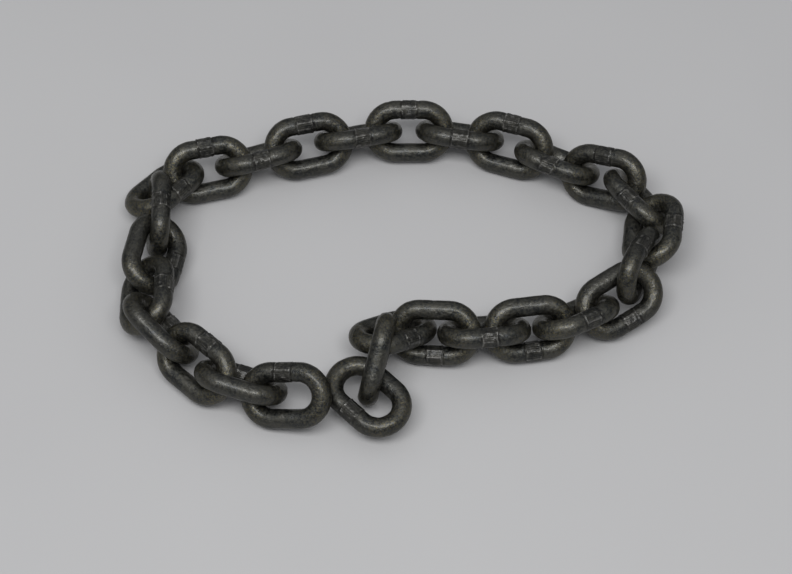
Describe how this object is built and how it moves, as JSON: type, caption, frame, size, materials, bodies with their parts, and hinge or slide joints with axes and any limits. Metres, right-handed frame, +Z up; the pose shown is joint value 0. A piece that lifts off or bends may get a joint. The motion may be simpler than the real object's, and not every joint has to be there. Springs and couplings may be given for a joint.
{
  "type": "short-link chain",
  "caption": "Piece of welded short-link steel chain, its links hooked through one another and laid on a floor in an open loop.",
  "frame": {"origin": "on the floor under the middle of the chain's bounding box", "axes": "+Z up; +Y from the side with the two free ends towards the long unbroken row; +X along the loop's length, to the right when looking along +Y"},
  "size_m": [0.375, 0.2604, 0.0532],
  "materials": {
    "chain_steel": "dark, oily, self-coloured steel with a soft sheen"
  },
  "bodies": {
    "link_01": {"link_01": "chain_steel"},
    "link_02": {"link_02": "chain_steel"},
    "link_03": {"link_03": "chain_steel"},
    "link_04": {"link_04": "chain_steel"},
    "link_05": {"link_05": "chain_steel"},
    "link_06": {"link_06": "chain_steel"},
    "link_07": {"link_07": "chain_steel"},
    "link_08": {"link_08": "chain_steel"},
    "link_09": {"link_09": "chain_steel"},
    "link_10": {"link_10": "chain_steel"},
    "link_11": {"link_11": "chain_steel"},
    "link_12": {"link_12": "chain_steel"},
    "link_13": {"link_13": "chain_steel"},
    "link_14": {"link_14": "chain_steel"},
    "link_15": {"link_15": "chain_steel"},
    "link_16": {"link_16": "chain_steel"},
    "link_17": {"link_17": "chain_steel"},
    "link_18": {"link_18": "chain_steel"},
    "link_19": {"link_19": "chain_steel"},
    "link_20": {"link_20": "chain_steel"},
    "link_21": {"link_21": "chain_steel"},
    "link_22": {"link_22": "chain_steel"},
    "link_23": {"link_23": "chain_steel"},
    "link_24": {"link_24": "chain_steel"},
    "link_25": {"link_25": "chain_steel"},
    "link_26": {"link_26": "chain_steel"},
    "link_27": {"link_27": "chain_steel"},
    "link_28": {"link_28": "chain_steel"}
  },
  "joints": [
    {"name": "link_01_on_link_02", "type": "hinge", "parent": "link_02", "child": "link_01", "pos_m": [-0.0804, -0.1028, 0.0212], "axis": [0.3702, 0.6554, -0.6584], "range_deg": [-70, 110]},
    {"name": "link_02_on_link_03", "type": "hinge", "parent": "link_03", "child": "link_02", "pos_m": [-0.1253, -0.0842, 0.0216], "axis": [-0.3811, -0.5592, 0.7362], "range_deg": [-107, 73]},
    {"name": "link_03_on_link_04", "type": "hinge", "parent": "link_04", "child": "link_03", "pos_m": [-0.1487, -0.0609, 0.0218], "axis": [-0.5923, -0.4222, -0.6863], "range_deg": [0, 81]},
    {"name": "link_04_on_link_05", "type": "hinge", "parent": "link_05", "child": "link_04", "pos_m": [-0.1613, -0.0335, 0.0156], "axis": [-0.658, 0.004, 0.753], "range_deg": [-115, 1]},
    {"name": "link_05_on_link_06", "type": "hinge", "parent": "link_06", "child": "link_05", "pos_m": [-0.1671, -0.0012, 0.0205], "axis": [0.5959, -0.115, 0.7948], "range_deg": [-96, 0]},
    {"name": "link_06_on_link_07", "type": "hinge", "parent": "link_07", "child": "link_06", "pos_m": [-0.1619, 0.0162, 0.0237], "axis": [-0.553, 0.014, -0.833], "range_deg": [0, 77]},
    {"name": "link_07_on_link_08", "type": "hinge", "parent": "link_08", "child": "link_07", "pos_m": [-0.1642, 0.0479, 0.0257], "axis": [0.9697, 0.147, -0.1949], "range_deg": [-91, 1]},
    {"name": "link_08_on_link_09", "type": "hinge", "parent": "link_09", "child": "link_08", "pos_m": [-0.1428, 0.0818, 0.0156], "axis": [0.165, -0.7019, 0.6929], "range_deg": [-82, 0]},
    {"name": "link_09_on_link_10", "type": "hinge", "parent": "link_10", "child": "link_09", "pos_m": [-0.1083, 0.088, 0.0196], "axis": [0.2249, -0.6718, -0.7058], "range_deg": [0, 86]},
    {"name": "link_10_on_link_11", "type": "hinge", "parent": "link_11", "child": "link_10", "pos_m": [-0.0746, 0.0989, 0.0202], "axis": [-0.186, 0.7081, -0.6811], "range_deg": [0, 93]},
    {"name": "link_11_on_link_12", "type": "hinge", "parent": "link_12", "child": "link_11", "pos_m": [-0.0402, 0.1076, 0.0204], "axis": [0.1861, -0.6693, -0.7193], "range_deg": [-1, 89]},
    {"name": "link_12_on_link_13", "type": "hinge", "parent": "link_13", "child": "link_12", "pos_m": [-0.0055, 0.1121, 0.022], "axis": [0.02, 0.789, -0.614], "range_deg": [0, 97]},
    {"name": "link_13_on_link_14", "type": "hinge", "parent": "link_14", "child": "link_13", "pos_m": [0.0158, 0.1138, 0.0212], "axis": [0.027, -0.7509, 0.6599], "range_deg": [-97, 0]},
    {"name": "link_15_on_link_14", "type": "hinge", "parent": "link_14", "child": "link_15", "pos_m": [0.0639, 0.1062, 0.0194], "axis": [-0.233, -0.7069, 0.6679], "range_deg": [-1, 94]},
    {"name": "link_16_on_link_15", "type": "hinge", "parent": "link_15", "child": "link_16", "pos_m": [0.0838, 0.0986, 0.0188], "axis": [0.269, 0.7311, -0.627], "range_deg": [-96, 1]},
    {"name": "link_17_on_link_16", "type": "hinge", "parent": "link_16", "child": "link_17", "pos_m": [0.1157, 0.0849, 0.0179], "axis": [-0.185, -0.5669, -0.8028], "range_deg": [-95, 85]},
    {"name": "link_18_on_link_17", "type": "hinge", "parent": "link_17", "child": "link_18", "pos_m": [0.144, 0.0687, 0.0236], "axis": [-0.477, -0.646, 0.596], "range_deg": [-55, 112]},
    {"name": "link_19_on_link_18", "type": "hinge", "parent": "link_18", "child": "link_19", "pos_m": [0.1658, 0.0483, 0.0208], "axis": [0.6118, 0.3799, 0.6938], "range_deg": [-54, 112]},
    {"name": "link_20_on_link_19", "type": "hinge", "parent": "link_19", "child": "link_20", "pos_m": [0.1676, 0.0151, 0.0234], "axis": [0.502, -0.101, -0.859], "range_deg": [-99, 44]},
    {"name": "link_21_on_link_20", "type": "hinge", "parent": "link_20", "child": "link_21", "pos_m": [0.1507, -0.0271, 0.0226], "axis": [0.114, -0.7178, 0.6868], "range_deg": [-1, 82]},
    {"name": "link_22_on_link_21", "type": "hinge", "parent": "link_21", "child": "link_22", "pos_m": [0.1192, -0.0377, 0.0186], "axis": [0.152, -0.6231, -0.7672], "range_deg": [0, 90]},
    {"name": "link_23_on_link_22", "type": "hinge", "parent": "link_22", "child": "link_23", "pos_m": [0.1068, -0.0459, 0.0214], "axis": [-0.26, 0.625, 0.736], "range_deg": [-68, 0]},
    {"name": "link_24_on_link_23", "type": "hinge", "parent": "link_23", "child": "link_24", "pos_m": [0.0772, -0.0519, 0.0209], "axis": [0.156, -0.7508, 0.6418], "range_deg": [-1, 92]},
    {"name": "link_25_on_link_24", "type": "hinge", "parent": "link_24", "child": "link_25", "pos_m": [0.029, -0.0552, 0.0215], "axis": [0.189, 0.754, -0.629], "range_deg": [-75, 4]},
    {"name": "link_26_on_link_25", "type": "hinge", "parent": "link_25", "child": "link_26", "pos_m": [0.0137, -0.0561, 0.0217], "axis": [-0.3441, -0.7311, 0.5891], "range_deg": [-6, 82]},
    {"name": "link_27_on_link_26", "type": "hinge", "parent": "link_26", "child": "link_27", "pos_m": [-0.0119, -0.0592, 0.0264], "axis": [-0.124, -0.479, -0.869], "range_deg": [-59, 20]},
    {"name": "link_28_on_link_27", "type": "hinge", "parent": "link_27", "child": "link_28", "pos_m": [-0.0155, -0.0877, 0.0207], "axis": [-0.9222, 0.3741, 0.098], "range_deg": [-76, 6]}
  ]
}
